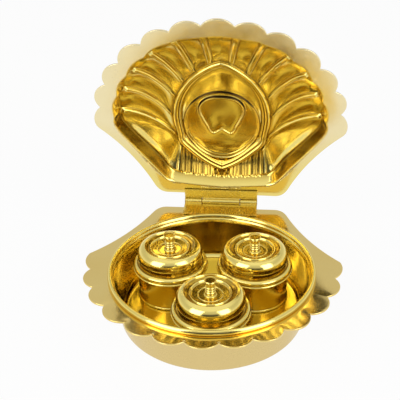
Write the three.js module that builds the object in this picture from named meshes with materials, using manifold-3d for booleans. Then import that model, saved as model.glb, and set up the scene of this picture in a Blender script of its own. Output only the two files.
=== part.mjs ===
// Shell-shaped brass kumkum box. A scalloped plate carries a round bowl that holds three
// lidded cups, and a pressed, fluted shell lid swings on a butt hinge at the back.
// Millimetres, +Z up, the scalloped front faces -Y. Shapes are drawn as they lie on the hinge
// line: u runs to the right, v runs forward from the hinge axis, and depth is measured from
// the lid's inner face into its hollow.

import * as THREE from "three";
import { mergeVertices } from "three/addons/utils/BufferGeometryUtils.js";
import Module from "manifold-3d";

const wasm = await Module();
wasm.setup();

// Sheet metal
const sheet = 0.9;
const joinGap = 0.3;

// Where the box stands: the origin is in the middle of the opened box, to half a millimetre,
// and the foot is on z = 0
const hingeY = 59.7;
const plateHeight = 25.2;

// Shell outline, shared by the plate and the lid. The front has scallops between notches.
const frontReach = 129;
const notches = [[8.1, 124.6], [23.5, 120.6], [37.8, 112.3], [50, 100], [58.5, 85.7], [62.7, 70]];
const scallopRise = 0.275;
const cornerScallopRise = 0.18;
const cornerScallopEnd = [66.2, 55.6];
const sideBend = [48.7, 38.4];
const hingeCorner = [38.5, 11.5];
const hingeCornerBend = [36, 4.5];
const backEdge = [31, 4.5];

// Hinge
const axisHeight = 1.8;
const openAngle = THREE.MathUtils.degToRad(71);
const hingeWidth = 42;
const endKnuckle = 9.9;
const knuckleGap = 0.4;
const knuckleRadius = 1.8;
const pinRadius = 0.8;
const boreRadius = 0.875;
const leafThickness = 0.9;
const leafSetback = 2.4;
const lowerLeafReach = 13;
const upperLeafReach = 8.5;
const pinSides = 16;
const knuckleSides = 24;

// Bowl, with its rolled bead on the plate and its standing rim below
const bowlForward = 67.6;
const bowlSides = 40;
const floorLevel = -22.7;
const plateHoleRadius = 51.3;
const bowlSection = [
  [0, floorLevel - sheet], [45.9, floorLevel - sheet], [46.3, -plateHeight],
  [47.6, -plateHeight], [48.0, -24.6], [49.3, -10], [50.4, -1.2], [50.9, 0], [52.4, 0],
  [53.5, 0.7], [53.5, 2.2], [52.2, 3.1], [50.9, 2.3], [50.1, 0], [48.4, -10], [47.2, -20.6],
  [45.4, floorLevel], [0, floorLevel],
];

// Cups and their lids. They stand loose in the bowl, at the corners of a rough triangle, so
// each has its own place on the hinge line's u and v.
const cupPlaces = { left: [-22.9, 55.7], right: [21.7, 54.7], front: [1.8, 94.2] };
const cupSides = 20;
const cupSection = [
  [0, floorLevel], [17.0, floorLevel], [17.85, -22.2], [17.85, -21.6], [17.4, -21.2],
  [17.4, -6.2], [18.9, -5.6], [18.9, -4.9], [17.1, -4.7], [17.1, -3.1], [16.4, -3.1],
  [16.4, -21.2], [15.8, floorLevel + sheet], [0, floorLevel + sheet],
];
const shankHole = 1.05;
const dishTop = 4.5;
const dishUnder = 3.7;
const cupLidSection = [
  [17.4, -4.7], [19.3, -4.7], [19.85, -3.4], [19.2, -2.2], [17.5, -2], [16.4, -0.9],
  [16.3, 0.4], [16.8, 2.6], [16.5, 4.7], [15.3, 6.4], [13.2, 7.1], [11.8, 6], [10.3, 6.8],
  [8.5, 5.7], [4.6, dishTop], [shankHole, dishTop], [shankHole, dishUnder], [4.8, dishUnder],
  [8.7, 4.9], [10.3, 5.9], [11.8, 5.1], [13.4, 6.2], [15.9, 4.2], [15.5, 0.4], [15.8, -1.4],
  [17.4, -2.8],
];

// Turned knob, held through the lid's dish by a shank with a spread end
const knobSides = 10;
const shank = 0.85;
const knobSection = [
  [0, 2.7], [1.7, 2.9], [1.9, 3.6], [shank, 3.6], [shank, dishTop], [2.2, dishTop], [1.8, 5.2],
  [2.4, 6.3], [1.8, 7.2], [2.1, 8], [1.8, 8.8], [2.25, 10], [2.2, 11.4], [2, 12], [3.1, 12.5],
  [3.25, 13.1], [2.6, 13.4], [0, 12.7],
];

// The lid was pressed and soldered slightly askew on the hinge
const lidAskew = THREE.MathUtils.degToRad(0.9);

// Lid relief. A spoke is numbered from 0 at the front to 8 at the hinge: ribs stand on the
// half numbers up to 6.5, and fine pleats fill the rest.
const mouthOutline = [
  [0, 0, 118.4], [0.5, 9.3, 117.3], [1.5, 24, 113.4], [2.5, 36.8, 104.2], [3.5, 46.8, 91.8],
  [4.5, 53, 78], [5.5, 56, 62.8], [5.75, 56.4, 57.5], [5.9, 53.8, 51], [6.05, 46.5, 39.2],
  [6.16, 39.5, 28.2], [6.24, 34.5, 20.3], [6.3, 31.2, 15.8], [6.36, 28, 13.7], [6.5, 24.8, 12.9],
  [7.2, 14, 11.7], [8, 0, 10.6],
];
const medallionOutline = [
  [0, 0, 91.5], [0.5, 5.4, 89.3], [1.5, 14, 82.7], [2.5, 19.8, 75.5], [3.5, 24.8, 65],
  [4.5, 26.9, 52], [5.5, 25.3, 37.5], [6.5, 23.3, 31], [7.1, 15.5, 23.8], [7.6, 7.4, 19],
  [8, 0, 16.8],
];
const lastFlute = 5.5;
const lastRib = 6.5;
const hingeSpoke = 8;
const wallDepth = 7.4;
const hingeWallDepth = 5.8;
const floorDepth = 15;
const hingeFloorDepth = 9.5;
const floorRiseFrom = 15;
const floorRiseTo = 38;
const wallRun = 3;
const hingeWallRun = 3.7;
const fluteSag = 1.3;
const ribHeight = 1.6;
const ribHalf = 0.12;
const lobeBulge = 1.3;
const pleats = 11;
const pleatDepth = 0.55;
const spokeBend = 4;
const frameCrest = 2;
const frameWidth = 3.9;
const frameHeight = 1.6;
const discCentre = 47.5;
const discHalfWidth = 20.6;
const discHalfLength = 22.3;
const discStep = 1.1;
const stepRun = 1.2;
const hubCentre = 50;
const hubRise = 0.9;
const hubOutline = [
  [0, 16.3], [0.6, 16.6], [1.0, 15.1], [1.58, 11.2], [2.2, 10.4], [2.7, 12.6], [2.87, 10.2],
  [Math.PI, 7.4],
];

const brass = new THREE.MeshStandardMaterial({ color: 0xd9b65a, roughness: 0.22, metalness: 1 });
const deepBrass = new THREE.MeshStandardMaterial({ color: 0xc9992c, roughness: 0.16, metalness: 1 });
const wire = new THREE.MeshStandardMaterial({ color: 0xb59a5a, roughness: 0.35, metalness: 1 });

const mix = (a, b, t) => a + (b - a) * t;

function smooth(from, to, x) {
  const t = THREE.MathUtils.clamp((x - from) / (to - from), 0, 1);
  return t * t * (3 - 2 * t);
}

function named(name, geometry, material) {
  const mesh = new THREE.Mesh(geometry, material);
  mesh.name = name;
  return mesh;
}

// A value read off a table of [at, value, value...] rows with straight runs between the rows
function lookUp(table, at) {
  let i = 1;
  while (i < table.length - 1 && table[i][0] < at) i += 1;
  const [low, high] = [table[i - 1], table[i]];
  const t = (at - low[0]) / (high[0] - low[0]);
  return low.slice(1).map((value, k) => mix(value, high[k + 1], t));
}

// A smooth curve through the same kind of table, mirrored at both ends
function curveThrough(table, at) {
  let i = 1;
  while (i < table.length - 1 && table[i][0] < at) i += 1;
  const slope = (j) => {
    const before = table[Math.max(j - 1, 0)];
    const after = table[Math.min(j + 1, table.length - 1)];
    return after.slice(1).map((value, k) => (value - before[k + 1]) / (after[0] - before[0]));
  };
  const [low, high] = [table[i - 1], table[i]];
  const span = high[0] - low[0];
  const t = (at - low[0]) / span;
  const [startSlope, endSlope] = [slope(i - 1), slope(i)];
  return low.slice(1).map((value, k) => {
    const rise = high[k + 1] - value;
    const a = startSlope[k] * span - rise;
    const b = rise - endSlope[k] * span;
    return mix(value, high[k + 1], t) + t * (1 - t) * (a * (1 - t) + b * t);
  });
}

// A circular arc from one end of a chord to the other, bulging to its right-hand side
function arcPoint(start, end, rise, t) {
  const chord = [end[0] - start[0], end[1] - start[1]];
  const length = Math.hypot(...chord);
  const radius = (length * length / 4 + rise * rise) / (2 * rise);
  const along = (t - 0.5) * 2 * Math.asin(length / 2 / radius);
  const offset = radius * Math.cos(along) - (radius - rise);
  const run = 0.5 + radius * Math.sin(along) / length;
  return [
    start[0] + chord[0] * run - chord[1] / length * offset,
    start[1] + chord[1] * run + chord[0] / length * offset,
  ];
}

function bezierPoint(start, bend, end, t) {
  return [0, 1].map((k) => mix(mix(start[k], bend[k], t), mix(bend[k], end[k], t), t));
}

// The right-hand half of the shell outline, by spoke number
function outlinePoint(spoke) {
  const scallop = Math.floor(spoke + 0.5);
  if (scallop === 0) {
    const [u, v] = notches[0];
    return arcPoint([-u, v], [u, v], frontReach - v, spoke + 0.5);
  }
  if (scallop < notches.length) {
    const [start, end] = [notches[scallop - 1], notches[scallop]];
    const chord = Math.hypot(end[0] - start[0], end[1] - start[1]);
    return arcPoint(start, end, chord * scallopRise, spoke + 0.5 - scallop);
  }
  const cornerEnd = lastFlute + 0.4;
  if (spoke <= cornerEnd) {
    const start = notches[notches.length - 1];
    const chord = Math.hypot(cornerScallopEnd[0] - start[0], cornerScallopEnd[1] - start[1]);
    return arcPoint(start, cornerScallopEnd, chord * cornerScallopRise, (spoke - lastFlute) / 0.4);
  }
  if (spoke <= lastRib) {
    const t = (spoke - cornerEnd) / (lastRib - cornerEnd);
    return bezierPoint(cornerScallopEnd, sideBend, hingeCorner, t);
  }
  const roundEnd = lastRib + 0.4;
  if (spoke <= roundEnd) {
    return bezierPoint(hingeCorner, hingeCornerBend, backEdge, (spoke - lastRib) / 0.4);
  }
  return [mix(backEdge[0], 0, (spoke - roundEnd) / (hingeSpoke - roundEnd)), backEdge[1]];
}

// Spoke numbers of half the shell: close together beside each rib, even in the pleats
function spokeNumbers() {
  const list = [0, 0.2, 0.5 - ribHalf];
  for (let rib = 0.5; rib < lastFlute; rib += 1) {
    for (const step of [0, ribHalf, 0.3, 0.5, 0.7, 1 - ribHalf]) list.push(rib + step);
  }
  const lastSteps = [0, ribHalf, 0.22, 0.32, 0.4, 0.5, 0.6, 0.7, 0.79, 1 - ribHalf];
  for (const step of lastSteps) list.push(lastFlute + step);
  for (let i = 0; i <= 2 * pleats; i += 1) {
    list.push(lastRib + (hingeSpoke - lastRib) * i / (2 * pleats));
  }
  return list;
}

// How far a spoke is across its flute, from 0 at one rib to 1 at the next
const acrossFlute = (spoke) => spoke + 0.5 - Math.floor(spoke + 0.5);

function mouthPoint(spoke) {
  const [u, v] = curveThrough(mouthOutline, spoke);
  if (spoke >= lastFlute) return [u, v];
  const lobe = lobeBulge * Math.sin(Math.PI * acrossFlute(spoke)) * smooth(0, 3, spoke);
  const away = Math.hypot(u, v - hubCentre);
  return [u + u / away * lobe, v + (v - hubCentre) / away * lobe];
}

const floorAt = (v) => mix(hingeFloorDepth, floorDepth, smooth(floorRiseFrom, floorRiseTo, v));

// Depth that the flutes, ribs or pleats add at a place along a spoke, fading at both ends
function relief(spoke, along) {
  const fade = Math.sin(Math.PI * THREE.MathUtils.clamp(along, 0, 1)) ** 0.6;
  if (spoke > lastRib) {
    const pleat = Math.cos(2 * Math.PI * pleats * (spoke - lastRib) / (hingeSpoke - lastRib));
    return -pleatDepth * pleat * fade;
  }
  const t = acrossFlute(spoke);
  const rib = Math.max(0, 1 - Math.min(t, 1 - t) / ribHalf);
  return (fluteSag * 4 * t * (1 - t) - ribHeight * rib) * fade;
}

// Points down one spoke of the lid, from the outline to the middle of the medallion
function spokePoints(spoke) {
  const edge = outlinePoint(spoke);
  const mouth = mouthPoint(spoke);
  const frame = curveThrough(medallionOutline, spoke);
  const run = [frame[0] - mouth[0], frame[1] - mouth[1]];
  const length = Math.hypot(...run);
  const nearHinge = smooth(lastRib - 0.3, lastRib, spoke);
  const foot = mix(wallRun, hingeWallRun, nearHinge) / length;
  const footDepth = mix(wallDepth, hingeWallDepth, nearHinge);
  const bend = spokeBend * smooth(1.5, 4.5, spoke) * (1 - smooth(6, lastRib, spoke));
  const points = [[...edge, 0], [...mouth, 0]];
  for (const step of [0, 0.16, 0.42, 0.72]) {
    const along = mix(foot, 1, step);
    const lift = bend * 4 * along * (1 - along);
    const u = mouth[0] + run[0] * along;
    const v = mouth[1] + run[1] * along + lift;
    const level = mix(footDepth, floorAt(frame[1]), Math.sin(step * Math.PI / 2));
    points.push([u, v, level + relief(spoke, step * 0.8 + 0.12 * Math.sign(step))]);
  }
  const floor = floorAt(frame[1]);
  const away = Math.hypot(frame[0], frame[1] - hubCentre);
  const inward = (distance) => [
    frame[0] * (1 - distance / away),
    hubCentre + (frame[1] - hubCentre) * (1 - distance / away),
  ];
  points.push([...frame, floor]);
  points.push([...inward(frameCrest), floor - frameHeight]);
  points.push([...inward(frameWidth), floor + 0.4]);
  const turn = Math.atan2(frame[0], frame[1] - hubCentre);
  const disc = (inset) => [
    (discHalfWidth - inset) * Math.sin(turn),
    discCentre + (discHalfLength - inset) * Math.cos(turn),
  ];
  points.push([...disc(0), floorDepth]);
  points.push([...disc(stepRun), floorDepth + discStep]);
  const [reach] = lookUp(hubOutline, turn);
  const hub = (inset) => [
    (reach - inset) * Math.sin(turn),
    hubCentre + (reach - inset) * Math.cos(turn),
  ];
  points.push([...hub(0), floorDepth + discStep]);
  points.push([...hub(stepRun), floorDepth + discStep - hubRise]);
  return points;
}

// Both faces of a pressed sheet. Rings run from the flat edge inwards; each inner point is
// moved by the sheet's thickness along its normal to give the outer face.
function pressedSheet(rings, centre, flatRings) {
  const count = rings[0].length;
  const inner = rings.flat().map((p) => new THREE.Vector3(...p));
  inner.push(new THREE.Vector3(...centre));
  const hub = inner.length - 1;
  const faces = [];
  for (let ring = 0; ring < rings.length - 1; ring += 1) {
    for (let i = 0; i < count; i += 1) {
      const [a, b] = [ring * count + i, ring * count + (i + 1) % count];
      faces.push([a, a + count, b + count], [a, b + count, b]);
    }
  }
  const last = (rings.length - 1) * count;
  for (let i = 0; i < count; i += 1) faces.push([last + i, hub, last + (i + 1) % count]);
  const normals = inner.map(() => new THREE.Vector3());
  const side = new THREE.Vector3();
  const other = new THREE.Vector3();
  for (const [a, b, c] of faces) {
    side.subVectors(inner[b], inner[a]);
    other.subVectors(inner[c], inner[a]);
    side.cross(other).negate();
    for (const corner of [a, b, c]) normals[corner].add(side);
  }
  const outer = inner.map((point, i) => {
    const normal = normals[i].normalize();
    if (i < count) normal.set(0, 0, 1);
    const reach = i < count * flatRings ? sheet / normal.z : sheet;
    return point.clone().addScaledVector(normal, reach);
  });
  const shift = inner.length;
  const index = [];
  for (const [a, b, c] of faces) {
    index.push(a, b, c);
    index.push(a + shift, c + shift, b + shift);
  }
  for (let i = 0; i < count; i += 1) {
    const next = (i + 1) % count;
    index.push(i, next, next + shift);
    index.push(i, next + shift, i + shift);
  }
  const geometry = new THREE.BufferGeometry();
  geometry.setFromPoints([...inner, ...outer]);
  geometry.setIndex(index);
  return geometry;
}

// The lid as it lies when shut, with the hinge axis as its origin
function shellLid() {
  const half = spokeNumbers().map(spokePoints);
  const mirrored = half.slice(1, -1).reverse().map((spoke) => spoke.map(([u, v, h]) => [-u, v, h]));
  const spokes = [...half, ...mirrored];
  const [cos, sin] = [Math.cos(lidAskew), Math.sin(lidAskew)];
  const place = ([u, v, depth]) => [u * cos + v * sin, u * sin - v * cos, axisHeight + depth];
  const rings = half[0].map((_, ring) => spokes.map((spoke) => place(spoke[ring])));
  const centre = place([0, hubCentre, floorDepth + discStep - hubRise]);
  return named("shell_lid", pressedSheet(rings, centre, 2), deepBrass);
}

function basePlate() {
  const numbers = [];
  for (let spoke = 0; spoke < lastFlute; spoke += 0.125) numbers.push(spoke);
  for (let spoke = lastFlute; spoke < lastRib + 0.45; spoke += 0.08) numbers.push(spoke);
  const right = numbers.map(outlinePoint);
  const left = right.slice(1).reverse().map(([u, v]) => [-u, v]);
  const outline = [...right, ...left].map(([u, v]) => new THREE.Vector2(u, -v));
  const shape = new THREE.Shape(outline);
  const hole = [];
  for (let i = 0; i < bowlSides; i += 1) {
    const turn = 2 * Math.PI * i / bowlSides;
    const [u, y] = [plateHoleRadius * Math.sin(turn), plateHoleRadius * Math.cos(turn)];
    hole.push(new THREE.Vector2(u, y - bowlForward));
  }
  shape.holes.push(new THREE.Path(hole));
  const geometry = new THREE.ExtrudeGeometry(shape, { depth: sheet, bevelEnabled: false });
  geometry.translate(0, 0, -sheet);
  return named("base_plate", geometry, brass);
}

// A turned piece about a vertical line; its section runs up the outside and down the inside
function turned(name, section, sides, material) {
  const closed = section[0][0] === 0 ? section : [...section, section[0]];
  const profile = closed.map(([radius, height]) => new THREE.Vector2(radius, height));
  const geometry = new THREE.LatheGeometry(profile, sides);
  geometry.rotateX(Math.PI / 2);
  return named(name, geometry, material);
}

function solidOf(geometry) {
  geometry.deleteAttribute("normal");
  geometry.deleteAttribute("uv");
  const merged = mergeVertices(geometry, 1e-5);
  const vertProperties = new Float32Array(merged.attributes.position.array);
  const triVerts = new Uint32Array(merged.index.array);
  return new wasm.Manifold(new wasm.Mesh({ numProp: 3, vertProperties, triVerts }));
}

function geometryOf(solid) {
  const { vertProperties, triVerts } = solid.getMesh();
  const geometry = new THREE.BufferGeometry();
  geometry.setAttribute("position", new THREE.BufferAttribute(new Float32Array(vertProperties), 3));
  geometry.setIndex(new THREE.BufferAttribute(new Uint32Array(triVerts), 1));
  return geometry;
}

// A round bar on the hinge axis between two places across the box
function axisBar(radius, sides, from, to) {
  const geometry = new THREE.CylinderGeometry(radius, radius, to - from, sides);
  geometry.rotateZ(Math.PI / 2);
  geometry.translate((from + to) / 2, 0, 0);
  return geometry;
}

function block(fromU, toU, fromV, toV, fromZ, toZ) {
  const geometry = new THREE.BoxGeometry(toU - fromU, toV - fromV, toZ - fromZ);
  geometry.translate((fromU + toU) / 2, -(fromV + toV) / 2, (fromZ + toZ) / 2);
  return geometry;
}

// One leaf: a flat strap, a tongue to each knuckle, and the knuckles bored for the pin
function hingeLeaf(name, reach, fromZ, knuckles) {
  const half = hingeWidth / 2;
  let solid = solidOf(block(-half, half, leafSetback, reach, fromZ, fromZ + leafThickness));
  for (const [from, to] of knuckles) {
    const tongue = block(from, to, 0, leafSetback + 0.5, fromZ, fromZ + leafThickness);
    solid = solid.add(solidOf(tongue));
    solid = solid.add(solidOf(axisBar(knuckleRadius, knuckleSides, from, to)));
  }
  solid = solid.subtract(solidOf(axisBar(boreRadius, pinSides, -hingeWidth, hingeWidth)));
  return named(name, geometryOf(solid), brass);
}

function hingePin() {
  const half = hingeWidth / 2;
  return named("hinge_pin", axisBar(pinRadius, pinSides, -half, half), wire);
}

// A cup with its lid and knob, standing on the bowl's floor
function cupSet(side) {
  const [u, v] = cupPlaces[side];
  const set = new THREE.Group();
  set.position.set(u, -v, 0);
  set.add(turned(`${side}_cup`, cupSection, cupSides, deepBrass));
  set.add(turned(`${side}_cup_lid`, cupLidSection, cupSides, deepBrass));
  set.add(turned(`${side}_lid_knob`, knobSection, knobSides, deepBrass));
  return set;
}

function lowerHalf() {
  const half = new THREE.Group();
  half.add(basePlate());
  const bowl = turned("bowl", bowlSection, bowlSides, deepBrass);
  bowl.position.y = -bowlForward;
  half.add(bowl);
  for (const side of Object.keys(cupPlaces)) half.add(cupSet(side));
  return half;
}

// Leaves and pin, with the hinge axis as their origin
function lowerLeaf() {
  const inner = hingeWidth / 2 - endKnuckle - knuckleGap;
  const fromZ = -axisHeight + joinGap;
  return hingeLeaf("lower_hinge_leaf", lowerLeafReach, fromZ, [[-inner, inner]]);
}

function upperLeaf() {
  const half = hingeWidth / 2;
  const fromZ = axisHeight - joinGap - leafThickness;
  const ends = [[-half, endKnuckle - half], [half - endKnuckle, half]];
  return hingeLeaf("upper_hinge_leaf", upperLeafReach, fromZ, ends);
}

const box = new THREE.Group();
box.position.set(0, hingeY, plateHeight);
box.add(lowerHalf());
const axis = new THREE.Group();
axis.position.z = axisHeight;
axis.add(lowerLeaf(), hingePin());
const lid = new THREE.Group();
lid.rotation.x = -openAngle;
lid.add(shellLid(), upperLeaf());
axis.add(lid);
box.add(axis);

export default box;
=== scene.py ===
import math

import bpy
import numpy as np
from mathutils import Matrix, Vector


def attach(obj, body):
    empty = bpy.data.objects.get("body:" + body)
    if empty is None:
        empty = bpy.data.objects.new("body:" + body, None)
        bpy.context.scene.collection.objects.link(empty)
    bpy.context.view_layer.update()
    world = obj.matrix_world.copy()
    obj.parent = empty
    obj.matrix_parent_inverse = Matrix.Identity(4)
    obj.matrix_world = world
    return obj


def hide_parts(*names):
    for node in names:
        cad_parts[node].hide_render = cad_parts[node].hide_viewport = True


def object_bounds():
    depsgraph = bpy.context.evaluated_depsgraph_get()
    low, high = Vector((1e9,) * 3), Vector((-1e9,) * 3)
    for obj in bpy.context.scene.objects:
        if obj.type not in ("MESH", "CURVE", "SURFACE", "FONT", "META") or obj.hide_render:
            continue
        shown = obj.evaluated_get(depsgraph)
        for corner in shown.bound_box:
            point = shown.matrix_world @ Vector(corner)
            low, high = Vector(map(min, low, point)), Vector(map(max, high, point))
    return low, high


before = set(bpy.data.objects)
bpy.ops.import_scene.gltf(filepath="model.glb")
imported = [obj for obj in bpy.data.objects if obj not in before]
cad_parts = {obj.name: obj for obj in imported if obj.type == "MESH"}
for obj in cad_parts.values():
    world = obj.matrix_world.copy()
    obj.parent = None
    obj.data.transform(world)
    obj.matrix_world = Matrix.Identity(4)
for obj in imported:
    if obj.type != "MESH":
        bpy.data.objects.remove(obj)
cad_low, cad_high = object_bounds()

# Sizes are in millimetres, as in the part's source. Shapes of the plate and the lid are drawn
# with u to the right, v forward from the hinge axis and depth into the lid's hollow. Their
# right half is laid out on spokes, numbered from 0 at the front's middle to 8 at the hinge's
# middle. A rib lies on each half number up to 6.5, and pleats lie beyond it.
MM = 0.001
SHEET = 0.9
HINGE_Y = 59.7
PLATE_TOP = 25.2
AXIS_HEIGHT = 1.8
OPEN_ANGLE = math.radians(71)
LID_ASKEW = math.radians(0.9)

# Shell outline
FRONT_REACH = 129
NOTCHES = [[8.1, 124.6], [23.5, 120.6], [37.8, 112.3], [50, 100], [58.5, 85.7], [62.7, 70]]
SCALLOP_RISE = 0.275
CORNER_SCALLOP_RISE = 0.17
CORNER_SCALLOP_END = [66.2, 55.6]
SIDE_BEND = [48.7, 38.4]
HINGE_CORNER = [38.5, 11.5]
HINGE_CORNER_BEND = [36, 4.5]
BACK_EDGE = [31, 4.5]
LAST_FLUTE = 5.5
CORNER_END = 5.9
LAST_RIB = 6.5
ROUND_END = 6.9
HINGE_SPOKE = 8
SIDE_WALL_SPOKES = [5.5, 5.7, 6.25, 6.4]

# Pressed relief of the lid. Rows of the mouth and the medallion are spoke, u, v; the hub's are
# the angle from straight forward and the reach from its centre
MOUTH = [
    [0, 0, 118.4], [0.5, 9.3, 117.3], [1.5, 24, 113.4], [2.5, 36.8, 104.2], [3.5, 46.8, 91.8],
    [4.5, 53, 78], [5.5, 56, 62.8], [5.75, 56.4, 57.5], [5.9, 53.8, 51], [6.05, 46.5, 39.2],
    [6.16, 39.5, 28.2], [6.24, 34.5, 20.3], [6.3, 31.2, 15.8], [6.36, 28, 13.7], [6.5, 24.8, 12.9],
    [7.2, 14, 11.7], [8, 0, 10.6],
]
MEDALLION = [
    [0, 0, 91.5], [0.5, 5.4, 89.3], [1.5, 14, 82.7], [2.5, 19.8, 75.5], [3.5, 24.8, 65],
    [4.5, 26.9, 52], [5.5, 25.3, 37.5], [6.5, 23.3, 31], [7.1, 15.3, 24], [7.6, 7.2, 18.6],
    [8, 0, 14.9],
]
HUB = [
    [0, 15.4], [0.6, 15.7], [1.0, 14.2], [1.58, 10.6], [2.2, 10.0], [2.7, 12.3], [2.87, 10.2],
    [math.pi, 7.4],
]
WALL_DEPTH = 7.4
HINGE_WALL_DEPTH = 5.8
WALL_RUN = 3
HINGE_WALL_RUN = 3.7
HINGE_WALL_SPOKES = [LAST_RIB - 0.3, LAST_RIB]
FLOOR_DEPTH = 15
HINGE_FLOOR_DEPTH = 9.5
FLOOR_RISE = [15, 38]
LOBE_BULGE = 1.3
LOBED_SPOKES = [0, 3]
SPOKE_BEND = 4
BENT_SPOKES = [1.5, 4.5, 6, LAST_RIB]
FLUTE_SAG = 0.7
FLUTE_EASE = 1.9
SIDE_EASE = 1.35
SIDE_EASE_SPOKES = [5.3, 5.8]
FLUTE_ROUNDING = 1.5
SIDE_ROUNDING = 0.7
RIB_HEIGHT = 1.45
RIB_TOP = 0.9
RIB_FOOT = 1.6
FRONT_RIBS = [1.4, 2.2]
FRONT_RIB_SPREAD = 0.5
PLEATS = 11
PLEAT_DEPTH = 0.75
PLEAT_WANDER = [[0.9, 0.37], [0.5, 1.3]]
PLEAT_SHARE = 0.75
PLEAT_SHARE_SWING = 0.35
PLEAT_SHARE_BEAT = 0.61
DISC_CENTRE = 46.2
DISC_HALF = [20.6, 23.6]
DISC_STEP = 1.1
DISC_CURL = 2.4
DISC_CURL_RUN = [33, 10]
DISC_SWELL = 0.1
HUB_CENTRE = 50
HUB_DISH = 0.35
HUB_DISH_RADIUS = 9.0

# Steps run from 0 at the wall's foot to 1 at the medallion, and below 0 up the wall. Each form
# rises and fades between these
WALL_STEP = 0.1
RIB_STEPS = [0, 0.08, 0.93, 1]
SAG_STEPS = [0, 0.2, 0.8, 1]
PLEAT_STEPS = [-0.12, -0.04, 0.9, 1]

# Painted shade, from 0 for bright through bronze at 0.5 to dark at 1; how much of the paler colour
# and satin gloss the outside takes; and where the flat flange takes it as a painted sheen
BESIDE_RIB_SHADE = 0.7
PLEAT_SHADE = 0.42
PLEAT_CREASE_SHADE = 0.22
WALL_FOOT_SHADE = 0.35
SIDE_WALL_SHADE = 0.75
FRAME_SHADE = 0.35
HINGE_FRAME_SHADE = 0.5
HINGE_RIDGE_SHADE = 0.35
OUTSIDE_SHADE = 0.4
OUTSIDE_SHEEN = 0.45
CREASE_SHADE_STEPS = [-0.01, 0.012]
WALL_FOOT_SHADE_STEPS = [-0.08, -0.02, 0, 0.05]
SIDE_WALL_SHADE_REACH = [0.3, 0.6]
SIDE_WALL_SHADE_STEPS = [0.02, 0.04]
FRAME_SHADE_STEPS = [0.92, 0.98]
HINGE_RIDGE_SPOKES = [5.8, 6.6]
SHEEN_SPOKES = [LAST_FLUTE + 0.2, LAST_RIB]
SHEEN_DEPTH = 0.2

# The lid's wall, as distance in from the mouth and depth, and where its rings lie
WALL = [[-0.6, 0], [-0.3, 0.03], [-0.05, 0.15], [0.15, 0.42], [0.32, 0.9], [0.5, 1.6], [9, 27.1]]
WALL_RINGS = [-0.6, -0.3, -0.05, 0.15, 0.32, 0.5, 0.85, 1.2, 1.55, 1.85, 2.1, 2.35, 2.6, 2.8, 3.0]
FLUTE_RINGS = [0.015, 0.032, 0.052, 0.075, 0.1, 0.14, 0.19, 0.25, 0.32, 0.39, 0.46, 0.53, 0.6, 0.67,
               0.74, 0.8, 0.855, 0.9, 0.93, 0.955, 0.975, 0.99]

# Ridges round the medallion, its disc and its hub: distance inwards, depth below the floor there
# (above it where negative), and the painted shade laid there
FRAME_RIDGES = [
    [0, 0.05, 1], [0.3, -0.5, 0.3], [0.65, -1.2, 0], [1.0, -1.5, 0], [1.4, -1.64, 0],
    [1.75, -1.5, 0.35], [2.1, -1.62, 0], [2.5, -1.5, 0], [2.9, -1.15, 0.1], [3.15, -0.7, 0.8],
    [3.4, -0.45, 0.9], [3.75, -0.6, 0.1], [4.15, -0.65, 0], [4.55, -0.4, 0.1], [4.85, 0.1, 0.5],
    [5.1, 0.35, 0.7], [5.4, 0.4, 0],
]
DISC_EDGE = [
    [-1.2, 0, 0], [-0.95, -0.05, 0.9], [-0.7, -0.3, 1], [-0.45, -0.65, 1], [-0.2, -0.85, 0.9],
    [0, -0.9, 0.1], [0.3, -0.6, 0], [0.55, 0.1, 0.2], [0.8, 0.7, 0.6], [1.1, 1.05, 0.6],
    [1.45, DISC_STEP, 0.2], [1.8, DISC_STEP, 0],
]
HUB_RIDGE = [
    [-1.4, 0, 0], [-1.15, -0.05, 0.9], [-0.9, -0.35, 1], [-0.6, -0.85, 1], [-0.35, -1.15, 0.8],
    [-0.15, -1.27, 0], [0.15, -1.3, 0], [0.5, -1.1, 0.1], [0.75, -0.8, 0.7], [1.1, -0.62, 0.5],
    [1.5, -0.6, 0.1], [1.8, -0.6, 0],
]

# Cut edge of a sheet: distance inwards and depth below its face
CUT_EDGE = [[0.9, 0], [0.35, 0], [0.15, 0.01], [0.04, 0.06], [0, 0.16], [0, 0.74], [0.04, 0.84],
            [0.15, 0.89], [0.35, 0.9], [0.9, 0.9]]

# Plate's front scallops: how far they droop beyond the bead, and how far each is crowned
SCALLOP_DROOP = 0.1
SCALLOP_DROOP_RUN = 8
SCALLOP_CROWN = 0.25
SCALLOP_CROWN_RUN = [0.3, 5]
DROOPING_SPOKES = [3.6, 5.4]

# Bowl and cups
BOWL_FORWARD = 67.6
HOLE_RADIUS = 51.3
BEAD_RADIUS = 53.5
CUP_PLACES = {"left": [-22.9, 55.7], "right": [21.7, 54.7], "front": [1.8, 94.2]}
BOWL_SIDES = 256
CUP_SIDES = 160
KNOB_SIDES = 72
WIRE_SIDES = 48

# A corner's rounding takes at most this share of each side that meets there, has this many points,
# and is guarded by one more point this share of the side away
CORNER_LIMIT = 0.46
CORNER_POINTS = 7
CORNER_GUARD = 0.03

# Sections of the turned pieces: distance from the middle, height from the plate's top, how far
# each corner is rounded and, where given, the painted shade laid at that corner
BOWL_SECTION = [
    [0, -23.6, 0], [45.9, -23.6, 0.2], [46.3, -25.2, 0.3], [47.6, -25.2, 0.4], [48.0, -24.6, 0.4],
    [49.3, -10, 2], [50.4, -1.2, 0.6], [50.9, 0, 0.3], [52.4, 0, 0.5], [53.3, 0.5, 0.5],
    [53.5, 1.6, 0.7], [52.9, 2.8, 0.7], [52.0, 3.05, 0.6], [51.2, 2.5, 0.5], [50.75, 1.3, 0.3],
    [50.85, 0.8, 0.15], [50.4, 0.3, 0.25], [49.9, -1.2, 0.5], [48.4, -10, 2], [47.2, -20.6, 1.4],
    [45.4, -22.7, 1.4], [0, -22.7, 0],
]
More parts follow.
